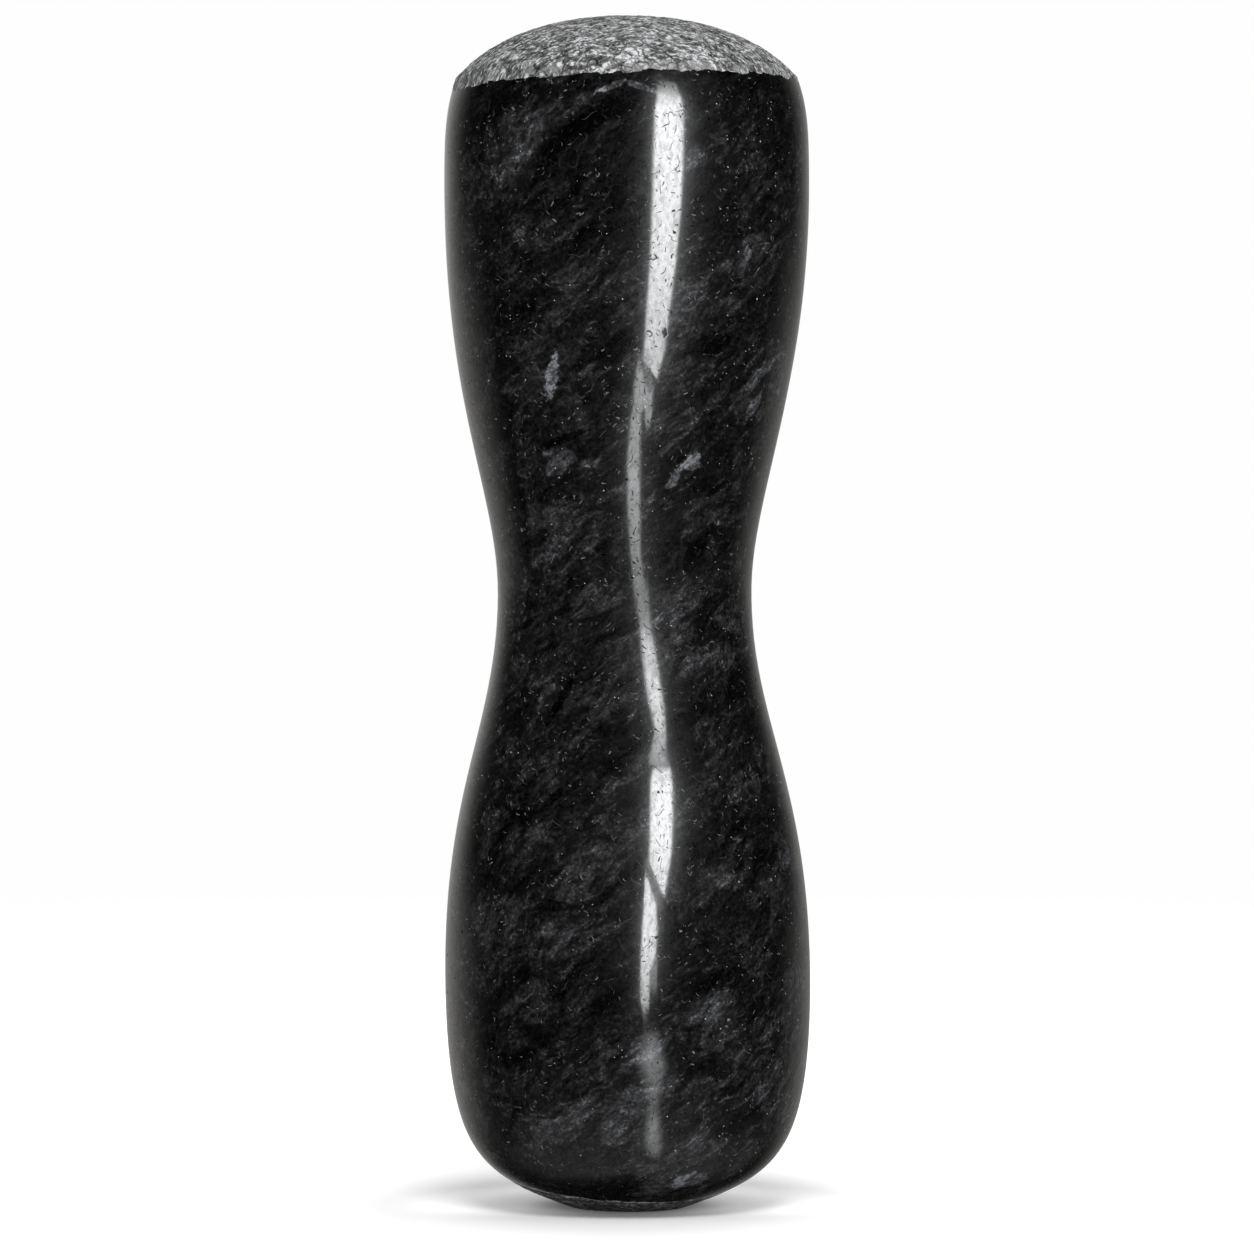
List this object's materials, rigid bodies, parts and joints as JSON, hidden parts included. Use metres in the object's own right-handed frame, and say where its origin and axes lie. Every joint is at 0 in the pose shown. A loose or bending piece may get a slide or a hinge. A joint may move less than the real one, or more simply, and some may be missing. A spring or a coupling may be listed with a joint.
{
  "type": "stone pestle",
  "caption": "Double-ended stone pestle: polished black grip with a waist for the hand, rough pecked ends for grinding, standing on a small flat foot.",
  "frame": {"origin": "centre of the flat foot that the pestle stands on", "axes": "+Z along the pestle's own axis, from the foot up to the crown; X and Y are alike, because the stone is turned"},
  "size_m": [0.05, 0.05, 0.1628],
  "materials": {
    "polished_stone": "polished",
    "pecked_stone_crown": "matte",
    "pecked_stone_foot": "matte"
  },
  "bodies": {
    "root": {"polished_grip": "polished_stone", "upper_grinding_end": "pecked_stone_crown", "lower_grinding_end": "pecked_stone_foot"}
  },
  "joints": []
}
